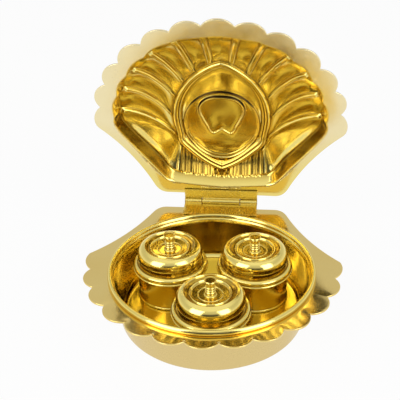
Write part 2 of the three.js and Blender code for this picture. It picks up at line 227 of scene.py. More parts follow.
# The bowl's first rows are the drum's outside, which is satin
SATIN_BOWL_ROWS = 8
CUP_SECTION = [
    [0, -22.7, 0], [17.0, -22.7, 0.3], [17.85, -22.2, 0.3], [17.85, -21.6, 0.25],
    [17.4, -21.2, 0.15, 0.5], [17.4, -6.4, 0.3, 0.5], [19.7, -6.0, 0.2], [20.1, -5.4, 0.3],
    [19.7, -4.9, 0.2], [17.1, -4.7, 0.15], [17.1, -3.1, 0.2], [16.4, -3.1, 0.2],
    [16.4, -21.2, 0.5], [15.8, -21.8, 0.4], [0, -21.8, 0],
]
CUP_LID_SECTION = [
    [17.4, -4.7, 0.1], [19.2, -4.7, 0.3], [19.75, -3.8, 0.7], [19.3, -2.75, 0.5],
    [18.2, -2.15, 0.5], [17.35, -2.35, 0.2, 0.8], [17.0, -1.2, 0.5, 0.45], [16.8, 0.1, 0.15, 0.6],
    [17.15, 0.8, 0.4], [17.1, 2.8, 1], [16.5, 4.9, 1.2], [15.2, 6.5, 1], [13.15, 7.25, 0.2],
    [12.6, 6.2, 0.3, 0.6], [11.2, 5.5, 0.3, 0.6], [10.5, 6.4, 0.12], [10.15, 6.4, 0.12],
    [9.5, 5.4, 0.6, 0.3], [6.5, 4.75, 0.3, 0.2], [6.2, 5.05, 0.1], [5.85, 4.7, 0.2, 0.3],
    [4.5, 4.5, 1, 0.2], [1.05, 4.5, 0], [1.05, 3.7, 0], [5.4, 3.7, 1.5], [9.2, 4.5, 0.6],
    [10.3, 5.5, 0.3], [11.2, 4.7, 0.3], [12.9, 5.4, 0.3], [13.6, 6.1, 0.3], [14.8, 5.6, 0.5],
    [15.7, 4.4, 0.8], [16.2, 2.6, 0.6], [16.2, 0.9, 0.3], [15.9, 0, 0.3], [16.1, -1.4, 0.3],
    [16.3, -2.7, 0.3], [17.3, -2.95, 0.15],
]
KNOB_SECTION = [
    [0, 2.7, 0], [1.7, 2.9, 0.2], [1.9, 3.6, 0.1], [0.85, 3.6, 0], [0.85, 4.5, 0], [3.2, 4.5, 0.1],
    [3.3, 4.95, 0.2], [2.5, 5.5, 0.2, 0.5], [2.3, 5.9, 0.2, 0.3], [2.85, 6.6, 0.4],
    [2.2, 7.4, 0.15, 0.6], [2.7, 8.0, 0.3], [2.05, 8.6, 0.15, 0.6], [2.7, 9.3, 0.4],
    [2.1, 9.9, 0.2, 0.4], [2.3, 10.3, 0.2], [2.3, 11.9, 0.2], [2.1, 12.2, 0.15, 0.6],
    [3.0, 12.5, 0.15], [3.15, 13.0, 0.2], [2.85, 13.4, 0.12], [2.3, 12.9, 0.3, 0.5],
    [0, 12.85, 0, 0.3],
]

# Hinge
HINGE_HALF = 21
END_KNUCKLE = 9.9
KNUCKLE_GAP = 0.15
KNUCKLE_RADIUS = 1.8
BORE_RADIUS = 0.875
PIN_RADIUS = 0.8
CURL_END = -375
CURL_POINTS = 40
FLAT_POINTS = 3
CURLED_STRAP_END = 2.4
FLAT_STRAP_END = 1.9
KNUCKLE_END = 0.4
SOLDER_GAP = 0.3
SOFT_EDGE = 0.12
LOWER_LEAF_REACH = 13
UPPER_LEAF_REACH = 8.5

# Brass colours
RELIEF_GOLD = (0.85, 0.70, 0.22)
PLATE_GOLD = (0.85, 0.66, 0.25)
# Paler colour: a painted sheen on the lid's flat flange, standing in for its bright reflection
SHEEN_GOLD = (0.87, 0.76, 0.46)
DRUM_GOLD = (0.70, 0.54, 0.235)
# The painted shade's colours: bronze, then dark
SHADE_BRONZE = (0.52, 0.33, 0.04)
SHADE_DARK = (0.035, 0.018, 0.004)
DEEPER = (0.97, 0.94, 0.85)

# Patterns of the polish, in waves to a metre: slow drift of the colour, clouds and wiping streaks
# in the gloss, and waves in the surface; the turning rings are in waves to a millimetre
COLOUR_DRIFT = 35
CLOUDS = 90
WIPING = (2600, 160, 2600)
WAVES = 55
WAVE_HEIGHT = 0.2
TURNING_RINGS = 3.0

# The part of each noise's range that is used, and what it multiplies the roughness by
MIDDLE_NOISE = (0.3, 0.7)
CLOUD_GLOSS = (0.8, 1.25)
WIPING_NOISE = (0.4, 0.65)
WIPING_GLOSS = (0.9, 1.15)

# Studio, in metres and watts. A softbox has its direction from the cups, width, height and power
ROOM_LEVEL = 0.70
OVERHEAD_LEVEL = 1.05
DARK_LEVEL = 0.08
AIR_LEVEL = 0.42
# Where the mirrored room changes, as the upward or the backward part of a ray's direction
HORIZON_UP = (0.0, 0.4)
OVERHEAD_UP = (0.65, 0.9)
DARK_UP = (0.18, 0.45)
DARK_BACK = (-0.55, -0.85)
FLOOR_COLOUR = (0.88, 0.88, 0.88)
FLOOR_GLOW = 0.94
FLOOR_HALF = 3.0
BOARD_COLOUR = (0.08, 0.07, 0.06)
BOARD_LIFT = 0.002
BOARD = [(-0.9, -3), (0.9, -3), (0.35, -0.17), (-0.35, -0.17)]
CUPS_MIDDLE = (0, -0.01, 0.03)
SOFTBOX_DISTANCE = 1.15
SOFTBOXES = {
    "left_softbox": [(-0.620, -0.690, 0.375), 0.75, 1.15, 8.5],
    "right_softbox": [(0.700, -0.610, 0.375), 0.65, 1.1, 7],
}

# Camera: its place, its right, up and back directions, and its lens and film width in millimetres
CAMERA_PLACE = (0.03284, -0.36416, 0.27534)
CAMERA_RIGHT = (0.99533761, 0.094375, -0.01990988)
CAMERA_UP = (-0.03031224, 0.50203302, 0.86431708)
CAMERA_BACK = (0.09156535, -0.85968378, 0.50255307)
LENS = 75.99
FILM_WIDTH = 36


def mix(a, b, t):
    """a + (b - a) t"""
    return a + (b - a) * t


def smooth(low, high, x):
    """3t^2 - 2t^3, with t the place of x between low and high, held to 0..1."""
    t = np.clip((x - low) / (high - low), 0, 1)
    return t * t * (3 - 2 * t)


def between(start, full, fading, end, x):
    """Rises smoothly from 0 at start to 1 at full, and falls from 1 at fading to 0 at end."""
    return smooth(start, full, x) * (1 - smooth(fading, end, x))


def lesser(a, b, round_by):
    """The lesser of a and b, with the corner between them rounded: mix(b, a, h) less
    round_by h (1 - h), where h runs from 0 to 1 as b - a goes from -round_by to round_by."""
    h = np.clip(0.5 + (b - a) / (2 * round_by), 0, 1)
    return mix(b, a, h) - round_by * h * (1 - h)


def curve_through(rows, at):
    """A cubic through rows of [place, values...], with each slope that of its neighbours' chord."""
    rows = np.array(rows, dtype=float)
    knots, values = rows[:, 0], rows[:, 1:]
    low = np.clip(np.searchsorted(knots, at) - 1, 0, len(knots) - 2)
    order = np.arange(len(knots))
    before, after = np.maximum(order - 1, 0), np.minimum(order + 1, len(knots) - 1)
    slope = (values[after] - values[before]) / (knots[after] - knots[before])[:, None]
    span = (knots[low + 1] - knots[low])[:, None]
    t = (at - knots[low])[:, None] / span
    rise = values[low + 1] - values[low]
    start = slope[low] * span - rise
    end = rise - slope[low + 1] * span
    return values[low] + rise * t + t * (1 - t) * (start * (1 - t) + end * t)


def arc_between(start, end, rise, t):
    """A circular arc over the chord from start to end that stands out by rise, at shares t of its
    angle: with radius (chord^2 / 4 + rise^2) / (2 rise)."""
    chord = end - start
    length = np.hypot(chord[:, 0], chord[:, 1])
    radius = (length**2 / 4 + rise**2) / (2 * rise)
    turn = (t - 0.5) * 2 * np.arcsin(length / 2 / radius)
    offset = (radius * np.cos(turn) - (radius - rise)) / length
    run = 0.5 + radius * np.sin(turn) / length
    normal = np.stack([-chord[:, 1], chord[:, 0]], axis=1)
    return start + chord * run[:, None] + normal * offset[:, None]


def bezier(start, bend, end, t):
    """(1-t)^2 start + 2t(1-t) bend + t^2 end"""
    start, bend, end = (np.array(p, dtype=float) for p in (start, bend, end))
    t = t[:, None]
    return (1 - t) ** 2 * start + 2 * t * (1 - t) * bend + t**2 * end


def across_flute(spoke):
    """Place of a spoke across its flute or scallop, from 0 at one rib to 1 at the next."""
    return spoke + 0.5 - np.floor(spoke + 0.5)


def outline(spoke):
    """Right half of the shell's edge: an arc over each chord between notches up to spoke 5.9,
    a quadratic bend down the side, a quadratic corner, then the straight back."""
    notches = np.array(NOTCHES, dtype=float)
    starts = np.vstack([notches[0] * [-1, 1], notches])
    ends = np.vstack([notches, CORNER_SCALLOP_END])
    chords = np.hypot(*(ends - starts).T)
    rises = chords * SCALLOP_RISE
    rises[0] = FRONT_REACH - notches[0][1]
    rises[-1] = chords[-1] * CORNER_SCALLOP_RISE
    arc = np.clip(np.floor(spoke + 0.5).astype(int), 0, len(rises) - 1)
    widths = np.array([1.0] * (len(rises) - 1) + [CORNER_END - LAST_FLUTE])
    t = np.clip((spoke + 0.5 - arc) / widths[arc], 0, 1)
    edge = arc_between(starts[arc], ends[arc], rises[arc], t)
    side = (spoke - CORNER_END) / (LAST_RIB - CORNER_END)
    corner = (spoke - LAST_RIB) / (ROUND_END - LAST_RIB)
    back = (spoke - ROUND_END) / (HINGE_SPOKE - ROUND_END)
    straight = np.stack([mix(BACK_EDGE[0], 0, back), np.full_like(back, BACK_EDGE[1])], axis=1)
    sweep = bezier(CORNER_SCALLOP_END, SIDE_BEND, HINGE_CORNER, side)
    turn = bezier(HINGE_CORNER, HINGE_CORNER_BEND, BACK_EDGE, corner)
    edge = np.where((side > 0)[:, None], sweep, edge)
    edge = np.where((corner > 0)[:, None], turn, edge)
    return np.where((back > 0)[:, None], straight, edge)


def grid_faces(rows, columns, poles, looped):
    """Quads of a grid that closes round its columns, with a fan at each pole or the last row
    joined to the first."""
    index = np.arange(rows * columns).reshape(rows, columns)
    upper = np.roll(index, -1, axis=0) if looped else index[1:]
    lower = index if looped else index[:-1]
    quads = np.stack([lower, np.roll(lower, -1, 1), np.roll(upper, -1, 1), upper], axis=-1)
    faces = quads.reshape(-1, 4).tolist()
    if poles:
        first, last = index[0], index[-1]
        start, end = rows * columns, rows * columns + 1
        faces += np.stack([np.roll(first, -1), first, np.full(columns, start)], axis=-1).tolist()
        faces += np.stack([last, np.roll(last, -1), np.full(columns, end)], axis=-1).tolist()
    return faces


def enclosed(points, faces):
    """Six times the signed volume: the sum of a.(b x c) over the faces' corner fans."""
    total = 0.0
    for sides in (3, 4):
        corners = np.array([f for f in faces if len(f) == sides])
        if len(corners):
            a = points[corners[:, 0]]
            for k in range(1, sides - 1):
                b, c = points[corners[:, k]], points[corners[:, k + 1]]
                total += np.einsum("ij,ij->i", a, np.cross(b, c)).sum()
    return total


def add_piece(name, shells, material, body, nodes, shade_and_finish=None):
    """Joins closed shells of (points, faces) in millimetres into one smooth mesh in metres, turned
    face outwards, with the painted shade and sheen, satin and turning run that the brass reads kept
    at each point."""
    points, faces = [], []
    for shell_points, shell_faces in shells:
        if enclosed(shell_points, shell_faces) < 0:
            shell_faces = [face[::-1] for face in shell_faces]
        shift = sum(len(p) for p in points)
        points.append(shell_points)
        faces += [[corner + shift for corner in face] for face in shell_faces]
    mesh = bpy.data.meshes.new(name)
    mesh.from_pydata((np.concatenate(points) * MM).tolist(), [], faces)
    mesh.polygons.foreach_set("use_smooth", np.ones(len(mesh.polygons), dtype=bool))
    for key, values in (shade_and_finish or {}).items():
        mesh.attributes.new(key, "FLOAT", "POINT").data.foreach_set("value", values)
    mesh.materials.append(material)
    mesh.update()
    piece = bpy.data.objects.new(name, mesh)
    bpy.context.scene.collection.objects.link(piece)
    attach(piece, body)
    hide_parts(*nodes)
    return piece


def rounded(section):
    """Each corner is cut back by its radius and bridged by a quadratic curve, with a point just
    before and after it so that the straight runs stay straight. Returns the points and, for
    each, the number of the corner that it belongs to."""
    section = np.array([row[:3] for row in section], dtype=float)
    out, corner = [], []
    count = len(section)
    for i, (r, z, size) in enumerate(section):
        here = section[i, :2]
        before, after = section[i - 1, :2] - here, section[(i + 1) % count, :2] - here
        back, forth = np.hypot(*before), np.hypot(*after)
        if size == 0:
            out.append(here[None])
            corner.append(i)
            continue
        cut_back, cut_forth = min(size, back * CORNER_LIMIT), min(size, forth * CORNER_LIMIT)
        start, end = here + before / back * cut_back, here + after / forth * cut_forth
        out.append((start + before * CORNER_GUARD)[None])
        out.append(bezier(start, here, end, np.linspace(0, 1, CORNER_POINTS)))
        out.append((end + after * CORNER_GUARD)[None])
        corner += [i] * (CORNER_POINTS + 2)
    return np.concatenate(out), np.array(corner)


def turned(section, centre, sides):
    """A section turned about an upright line: (r sin a, -r cos a, z). Returns the points, the
    faces, the painted shade and the run along the section at each point, and its corner's number."""
    profile, corner = rounded(section)
    on_axis = profile[0, 0] == 0
    steps = np.hypot(*np.diff(profile, axis=0).T)
    run = np.concatenate([[0], np.cumsum(steps)])
    inner = slice(1, -1) if on_axis else slice(None)
    body = profile[inner]
    angle = np.linspace(0, 2 * np.pi, sides, endpoint=False)
    points = np.stack([
        centre[0] + body[:, None, 0] * np.sin(angle),
        centre[1] - body[:, None, 0] * np.cos(angle),
        centre[2] + np.repeat(body[:, 1:2], sides, axis=1),
    ], axis=-1).reshape(-1, 3)
    runs, corners = np.repeat(run[inner], sides), np.repeat(corner[inner], sides)
    if on_axis:
        ends = [[centre[0], centre[1], centre[2] + profile[k, 1]] for k in (0, -1)]
        points = np.concatenate([points, ends])
        runs = np.concatenate([runs, [0, run[-1]]])
        corners = np.concatenate([corners, [0, corner[-1]]])
    faces = grid_faces(len(body), sides, on_axis, not on_axis)
    # The fourth column of a section is the painted shade at that corner
    painted_shade = np.array([row[3] if len(row) > 3 else 0 for row in section])
    return points, faces, {"run": runs, "painted_shade": painted_shade[corners]}, corners


def spoke_numbers():
    """Spoke numbers of the right half, crowded where a rib or a pleat bends the sheet."""
    near = np.array([0, 0.02, 0.035, 0.05, 0.065, 0.08, 0.095, 0.11, 0.125, 0.14, 0.16, 0.185,
                     0.215])
    wide = np.array([0.255, 0.3, 0.35, 0.4, 0.45])
    half = np.concatenate([near, wide])
    flute = np.concatenate([half, [0.5], 1 - half[:0:-1]])
    front = flute[flute >= 0.5] - 0.5
    flutes = [front] + [flute + rib for rib in np.arange(0.5, LAST_FLUTE, 1)]
    side = np.concatenate([near, np.arange(0.25, 0.72, 0.04), np.arange(0.73, 0.9, 0.02),
                           [0.91, 0.925, 0.94, 0.955, 0.97, 0.985]])
    pleats = np.linspace(LAST_RIB, HINGE_SPOKE, 6 * PLEATS + 1)
    return np.concatenate(flutes + [side + LAST_FLUTE, pleats])


def floor_at(v):
    """Depth of the lid's floor, shallower near the hinge."""
    return mix(HINGE_FLOOR_DEPTH, FLOOR_DEPTH, smooth(*FLOOR_RISE, v))


def disc_floor(v):
    """Depth that the medallion's disc lies at: the floor's, less DISC_CURL t^2, where t runs from
    0 to 1 over the last stretch towards the hinge."""
    start, run = DISC_CURL_RUN
    return FLOOR_DEPTH - DISC_CURL * np.clip((start - v) / run, 0, 1) ** 2


def toward(points, centre, distance):
    """Points moved by distance towards a centre."""
    away = centre - points
    return points + away / np.hypot(away[:, 0], away[:, 1])[:, None] * np.reshape(distance, (-1, 1))


def flute_relief(spoke, place, step):
    """Depth that flutes, ribs and pleats add to a ring that lies step of the way to the
    medallion, and the painted shade along the ribs' feet and in the pleats' creases. A rib falls
    off smoothly between two distances from its spoke; a flute sags by 4t(1-t) across; pleats are
    the cosine of a turn to which slower sines are added, and their height follows a slower sine
    too."""
    t = across_flute(spoke)
    fluted = spoke <= LAST_RIB
    from_rib = np.where(fluted, np.minimum(t, 1 - t), spoke - LAST_RIB)
    speed = np.hypot(np.gradient(place[:, 0], spoke), np.gradient(place[:, 1], spoke))
    distance = from_rib * speed
    wide = 1 + FRONT_RIB_SPREAD * (1 - smooth(*FRONT_RIBS, spoke)) * (1 - step)
    rib = 1 - smooth(RIB_TOP * wide, RIB_FOOT * wide, distance)
    ends = between(*RIB_STEPS, step)
    sag = np.where(fluted, FLUTE_SAG * 4 * t * (1 - t), 0) * between(*SAG_STEPS, step)
    even = 2 * np.pi * PLEATS * (spoke - LAST_RIB) / (HINGE_SPOKE - LAST_RIB)
    turn = even + sum(swing * np.sin(beat * even) for swing, beat in PLEAT_WANDER)
    deep = PLEAT_SHARE + PLEAT_SHARE_SWING * np.sin(PLEAT_SHARE_BEAT * turn + 1)
    pleat = np.where(fluted, 0, np.cos(turn) * deep) * smooth(RIB_TOP, RIB_FOOT, distance)
    fold = -PLEAT_DEPTH * pleat * between(*PLEAT_STEPS, step)
    off_rib = (distance - RIB_FOOT * wide - 0.1) / 0.3
    # Painted shade along each rib's foot and in the pleats' creases
    beside = np.exp(-(off_rib**2)) * BESIDE_RIB_SHADE * ends
    crease = PLEAT_SHADE + PLEAT_CREASE_SHADE * (1 - pleat)
    crease = np.where(fluted, 0, crease) * smooth(*CREASE_SHADE_STEPS, step)
    return sag - RIB_HEIGHT * rib * ends + fold, np.maximum(beside, crease)


def lobed_mouth(spoke):
    """The mouth's line, which bulges by sin(pi t) across each flute."""
    bulge = LOBE_BULGE * np.sin(np.pi * across_flute(spoke))
    lobe = np.where(spoke < LAST_FLUTE, bulge, 0) * smooth(*LOBED_SPOKES, spoke)
    return toward(curve_through(MOUTH, spoke), np.array([0, HUB_CENTRE]), -lobe)


def wall_and_flutes(spoke, mouth, frame_line):
    """Rings from the mouth down the wall and over the flutes, as place, depth and painted shade.
    Depth is the lesser of the wall's and the fluted floor's, which falls from the wall's foot to
    the medallion as 1 - (1 - rise)^ease."""
    run = frame_line - mouth
    length = np.hypot(run[:, 0], run[:, 1])
    near_hinge = smooth(*HINGE_WALL_SPOKES, spoke)
    wall_run = mix(WALL_RUN, HINGE_WALL_RUN, near_hinge)
    foot = mix(WALL_DEPTH, HINGE_WALL_DEPTH, near_hinge)
    bend = SPOKE_BEND * between(*BENT_SPOKES, spoke)
    floor = floor_at(frame_line[:, 1])
    side = between(*SIDE_WALL_SPOKES, spoke)
    ease = mix(FLUTE_EASE, SIDE_EASE, smooth(*SIDE_EASE_SPOKES, spoke))
    round_by = mix(FLUTE_ROUNDING, SIDE_ROUNDING, np.maximum(side, near_hinge))
    by_frame = FRAME_SHADE + HINGE_FRAME_SHADE * near_hinge
    reaches = [(reach * wall_run / WALL_RUN, (reach - WALL_RUN) / WALL_RUN * WALL_STEP)
               for reach in WALL_RINGS]
    reaches += [(mix(wall_run, length, step), step) for step in FLUTE_RINGS]
    rings = []
    for reach, step in reaches:
        along = reach / length
        place = mouth + run * along[:, None]
        place[:, 1] += bend * 4 * np.maximum(along * (1 - along), 0)
        wall = np.interp(reach * WALL_RUN / wall_run, *np.array(WALL).T) * foot / WALL_DEPTH
        rise = (reach - wall_run) / (length - wall_run)
        relief, painted_shade = flute_relief(spoke, place, step)
        level = mix(foot, floor, 1 - (1 - np.clip(rise, 0, 1)) ** ease) + relief
        depth = np.maximum(lesser(wall, level, round_by), 0)
        # Painted shade at the wall's foot, on the side walls and round the medallion's frame
        low_wall = WALL_FOOT_SHADE * between(*WALL_FOOT_SHADE_STEPS, step)
        on_wall = smooth(*SIDE_WALL_SHADE_REACH, reach.max())
        on_wall = on_wall * (1 - smooth(*SIDE_WALL_SHADE_STEPS, step))
        side_wall = SIDE_WALL_SHADE * side * on_wall
        painted_shade = np.maximum(painted_shade, by_frame * smooth(*FRAME_SHADE_STEPS, step))
        painted_shade = np.maximum(painted_shade, np.maximum(low_wall, side_wall))
        rings.append((place, depth, painted_shade))
    return rings


def medallion(spoke, frame_line):
    """Rings over the medallion's ridged frame, its field, its disc and the hub on the disc, as
    place, depth and painted shade. The disc's edge is (sin a, cos a) times its half sizes, and the
    hub's edge is (sin a, cos a) times its reach at a."""
    hub_centre = np.array([0, HUB_CENTRE])
    floor = floor_at(frame_line[:, 1])
    # Painted shade on the frame's ridges near the hinge
    hinge_end_shade = HINGE_RIDGE_SHADE * smooth(*HINGE_RIDGE_SPOKES, spoke)
    rings = []
    for inset, height, painted_shade in FRAME_RIDGES:
        place = toward(frame_line, hub_centre, inset)
        rings.append((place, floor + height, np.maximum(painted_shade, hinge_end_shade)))
    field = rings[-1][0]
    turn = np.arctan2(frame_line[:, 0], frame_line[:, 1] - HUB_CENTRE)
    around = np.column_stack([np.sin(turn), np.cos(turn)])

    def disc(inset):
        return around * (np.array(DISC_HALF) - inset) + [0, DISC_CENTRE]

    for share in (0.25, 0.5, 0.75, 0.92):
        place = mix(field, disc(DISC_EDGE[0][0]), share)
        depth = mix(floor + FRAME_RIDGES[-1][1], disc_floor(place[:, 1]), smooth(0, 1, share))
        rings.append((place, depth, 0))
    # The painted shade on disc and hub edges is darkest at the top, then at the bottom, least at
    # the sides
    shadowed = 0.4 + 0.6 * (1 - smooth(0.8, 1.1, turn) + 0.6 * smooth(2.0, 2.3, turn))
    for inset, height, painted_shade in DISC_EDGE:
        place = disc(inset)
        rings.append((place, disc_floor(place[:, 1]) + height, painted_shade * shadowed))
    reach = curve_through(HUB, np.clip(turn, 0, math.pi))
    low = FLOOR_DEPTH + DISC_STEP
    outer_edge = around * (reach - HUB_RIDGE[0][0]) + hub_centre
    for share in (0.2, 0.4, 0.6, 0.8):
        place = mix(disc(DISC_EDGE[-1][0]), outer_edge, share)
        swell = DISC_SWELL * math.sin(math.pi * share)
        rings.append((place, disc_floor(place[:, 1]) + DISC_STEP + swell, 0))
    for inset, height, painted_shade in HUB_RIDGE:
        rings.append((around * (reach - inset) + hub_centre, low + height, painted_shade * shadowed))
    inner_edge = reach - HUB_RIDGE[-1][0]
    for share in (0.1, 0.2, 0.35, 0.5, 0.65, 0.8, 0.92):
        radius = mix(inner_edge, HUB_DISH_RADIUS, smooth(0, 0.7, share)) * (1 - share)
        depth = low + HUB_RIDGE[-1][1] + HUB_DISH * smooth(0, 0.8, share)
        rings.append((around * radius + hub_centre, depth, 0))
    return rings


def lid_rings(spoke):
    """Rings of (u, v, depth) on the lid's inner face, from its edge to the medallion's middle,
    with the painted shade on each ring and how much paler colour and satin its flat parts take."""
    edge, mouth, frame_line = outline(spoke), lobed_mouth(spoke), curve_through(MEDALLION, spoke)
    flange = [(mix(edge, mouth, share), 0, 0) for share in (0.25, 0.5, 0.75, 0.9)]
    # Painted pale sheen, with a satin gloss, on the flat flange away from the hinge
    painted_sheen_and_satin = 1 - smooth(*SHEEN_SPOKES, spoke)
    rings, shade_rings, pale = [], [], []
    for place, depth, painted_shade in (
        flange + wall_and_flutes(spoke, mouth, frame_line) + medallion(spoke, frame_line)
    ):
        rings.append(np.column_stack([place, np.broadcast_to(depth, len(spoke))]))
        shade_rings.append(np.broadcast_to(painted_shade, len(spoke)))
        pale.append(painted_sheen_and_satin * float(np.max(depth) < SHEEN_DEPTH))
    return rings, shade_rings, pale


def both_halves(rings):
    """The right half's rings with the left half mirrored on, as one closed turn."""
    whole = []
    for half in rings:
        other = half[1:-1][::-1].copy()
        if half.ndim == 2:
            other[:, 0] *= -1
        whole.append(np.concatenate([half, other]))
    return np.array(whole)


def softened(points, values, reach):
    """Mean of values over the neighbours round a ring and then along the spokes, each weighted
    by exp(-d^2 / 2 reach^2) for its distance d."""
    for axis, mode, span in ((1, "wrap", 8), (0, "edge", 5)):
        pads = [(0, 0)] * 3
        pads[axis] = (span, span)
        wide_points, wide_values = np.pad(points, pads, mode=mode), np.pad(values, pads, mode=mode)
        total, weights = 0, 0
        for k in range(2 * span + 1):
            part = [slice(None)] * 3
            part[axis] = slice(k, k + points.shape[axis])
            distance = np.linalg.norm(wide_points[tuple(part)] - points, axis=-1, keepdims=True)
            weight = np.exp(-((distance / reach) ** 2) / 2)
            total = total + wide_values[tuple(part)] * weight
            weights = weights + weight
        values = total / weights
    return values


def sheet_normals(rings):
    """Unit normals of a ring grid: the cross product of its two central differences."""
    across = np.gradient(rings, axis=0)
    around = np.roll(rings, -1, axis=1) - np.roll(rings, 1, axis=1)
    normal = np.cross(across, around)
    normal /= np.linalg.norm(normal, axis=-1, keepdims=True) + 1e-12
    return normal * np.sign(normal[:, :1, 2:3])


def lid_shell():
    """Both faces of the pressed sheet and its rounded edge, laid on the opened hinge line. The
    outer face is the inner one softened and moved by the sheet's thickness along its normals."""
    spoke = spoke_numbers()
    rings, shade_rings, pale = lid_rings(spoke)
    inner = both_halves(rings)
    painted_shade, painted_sheen_and_satin = both_halves(shade_rings), both_halves(pale)
    soft = softened(inner, inner, 0.5)
    normal = softened(inner, sheet_normals(soft), 0.8)
    normal /= np.linalg.norm(normal, axis=-1, keepdims=True)
    flat = np.abs(inner[:, :, 2:3]) < 1e-6
    outer = np.where(flat, inner + [0, 0, SHEET], soft + normal * SHEET)
    # The outside takes a fainter copy of the inside's painted shade
    outer, outer_painted_shade = outer[::2], painted_shade[::2] * OUTSIDE_SHADE
    edge_ring = both_halves([np.column_stack([outline(spoke), np.zeros(len(spoke))])])[0]
    inside = inner[0] - edge_ring
    inside /= np.linalg.norm(inside, axis=1, keepdims=True)
    edge = np.array([edge_ring + inside * inset + [0, 0, depth] for inset, depth in CUT_EDGE])
    loop = np.concatenate([inner[::-1], edge, outer])
    rim = np.zeros((len(CUT_EDGE), painted_shade.shape[1]))
    shade_grid = np.concatenate([painted_shade[::-1], rim, outer_painted_shade])
    # The outside takes part of the paler colour and of the satin gloss
    outer_sheen = np.full(outer_painted_shade.shape, OUTSIDE_SHEEN)
    flats = np.concatenate([painted_sheen_and_satin[::-1], rim + painted_sheen_and_satin[0], outer_sheen])
    poles = np.array([[0, HUB_CENTRE, inner[-1, 0, 2]], [0, HUB_CENTRE, outer[-1, 0, 2]]])
    points = on_open_lid(np.concatenate([loop.reshape(-1, 3), poles]), LID_ASKEW)
    faces = grid_faces(len(loop), loop.shape[1], True, False)
    shade_and_finish = {
        "painted_shade": np.append(shade_grid.ravel(), [0, 0]),
        "painted_sheen_and_satin": np.append(flats.ravel(), [0, OUTSIDE_SHEEN]),
    }
    return points, faces, shade_and_finish


def on_open_lid(points, askew):
    """(u, v, depth) turned askew in the sheet's own plane, then about the hinge axis by the
    opening angle."""
    u, v, depth = points.T
    u, v = u * math.cos(askew) + v * math.sin(askew), v * math.cos(askew) - u * math.sin(askew)
    height = AXIS_HEIGHT + depth
    cos, sin = math.cos(OPEN_ANGLE), math.sin(OPEN_ANGLE)
    y = HINGE_Y - v * cos + height * sin
    z = PLATE_TOP + AXIS_HEIGHT + v * sin + height * cos
    return np.column_stack([u, y, z])


def plate_shell():
    """Rings from the scalloped edge to the bowl's hole, over the top and back underneath. The
    front scallops droop with the square of the distance x beyond the bead, and each is crowned
    by (2t - 1)^2 across."""
    hinge_side = np.arange(LAST_FLUTE, HINGE_SPOKE + 0.001, 0.02)
    spoke = np.concatenate([np.arange(0, LAST_FLUTE, 0.025), hinge_side])
    edge = both_halves([np.column_stack([outline(spoke), np.zeros(len(spoke))])])[0][:, :2]
    front, across = both_halves([1 - smooth(*DROOPING_SPOKES, spoke), across_flute(spoke)])
    centre = np.array([0, BOWL_FORWARD])
    away = edge - centre
    hole = centre + away / np.hypot(away[:, 0], away[:, 1])[:, None] * HOLE_RADIUS
    inside = (hole - edge) / np.hypot(*(hole - edge).T)[:, None]
    shares = np.linspace(1, 0.12, 12)
    flat = [(mix(edge, hole, share), 0) for share in shares]
    flat += [(edge + inside * inset, -drop) for inset, drop in CUT_EDGE]
    flat += [(mix(edge, hole, share), -SHEET) for share in shares[::-1]]
    rings = []
    for place, level in flat:
        beyond = np.maximum(np.hypot(*(place - centre).T) - BEAD_RADIUS, 0)
        crown = SCALLOP_CROWN * (2 * across - 1) ** 2 * smooth(*SCALLOP_CROWN_RUN, beyond)
        droop = SCALLOP_DROOP * (beyond / SCALLOP_DROOP_RUN) ** 2 + crown
        rings.append(np.column_stack([place, level - front * droop]))
    points = np.array(rings)
    placed = np.column_stack([
        points[..., 0].ravel(),
        HINGE_Y - points[..., 1].ravel(),
        PLATE_TOP + points[..., 2].ravel(),
    ])
    return placed, grid_faces(len(rings), len(edge), False, True)


def strap_with_knuckle(reach, from_u, to_u, curled, level):
    """A strip of sheet carried along the hinge line. Its section is a flat strap that, where it
    is curled, runs on round the pin through 285 degrees. The knuckle's two ends get painted shade."""
    flat_u = np.array([reach, reach * 0.5, CURLED_STRAP_END if curled else FLAT_STRAP_END])
    low = np.column_stack([flat_u, np.full(FLAT_POINTS, level - SHEET)])
    high = np.column_stack([flat_u, np.full(FLAT_POINTS, level)])
    if curled:
        turn = np.radians(np.linspace(-90, CURL_END, CURL_POINTS))
        arc = np.column_stack([np.cos(turn), np.sin(turn)])
        low = np.vstack([low, arc * KNUCKLE_RADIUS])
        high = np.vstack([high, arc * BORE_RADIUS])
    section = np.vstack([low, high[::-1]])
    count = len(section)
    across = np.array([from_u, from_u + KNUCKLE_END, to_u - KNUCKLE_END, to_u])
    points = np.array([
        np.column_stack([np.full(count, u), section[:, 0], section[:, 1]]) for u in across
    ]).reshape(-1, 3)
    index = np.arange(count)
    following = np.roll(index, -1)
    strip = np.stack([index, following, following + count, index + count], axis=1)
    faces = np.concatenate([strip + count * k for k in range(3)]).tolist()
    near = np.arange(count // 2 - 1)
    cap = np.stack([near, near + 1, count - 2 - near, count - 1 - near], axis=1)
    faces += cap[:, ::-1].tolist() + (cap + count * 3).tolist()
    # The flat points at the section's two ends are no part of the knuckle
    knuckle = (np.abs(index - (count - 1) / 2) < count / 2 - FLAT_POINTS) * float(curled)
    # Painted shade on the curled strip's two ends, at the gaps between the knuckles
    return points, faces, np.outer([1, 0, 0, 1], knuckle).ravel()


def leaf(reach, inner, middle_curled, place):
    """A strap in three strips across the hinge, with its knuckles on the middle or the ends, and
    the painted shade at its knuckles' ends."""
    level = SOLDER_GAP + SHEET - AXIS_HEIGHT
    shells, painted_shade = [], []
    strips = ((-HINGE_HALF, -inner, False), (-inner, inner, True), (inner, HINGE_HALF, False))
    for from_u, to_u, middle in strips:
        curled = middle == middle_curled
        points, faces, gap_shade = strap_with_knuckle(reach, from_u, to_u, curled, level)
        shells.append((place(points), faces))
        painted_shade.append(gap_shade)
    return shells, {"painted_shade": np.concatenate(painted_shade)}


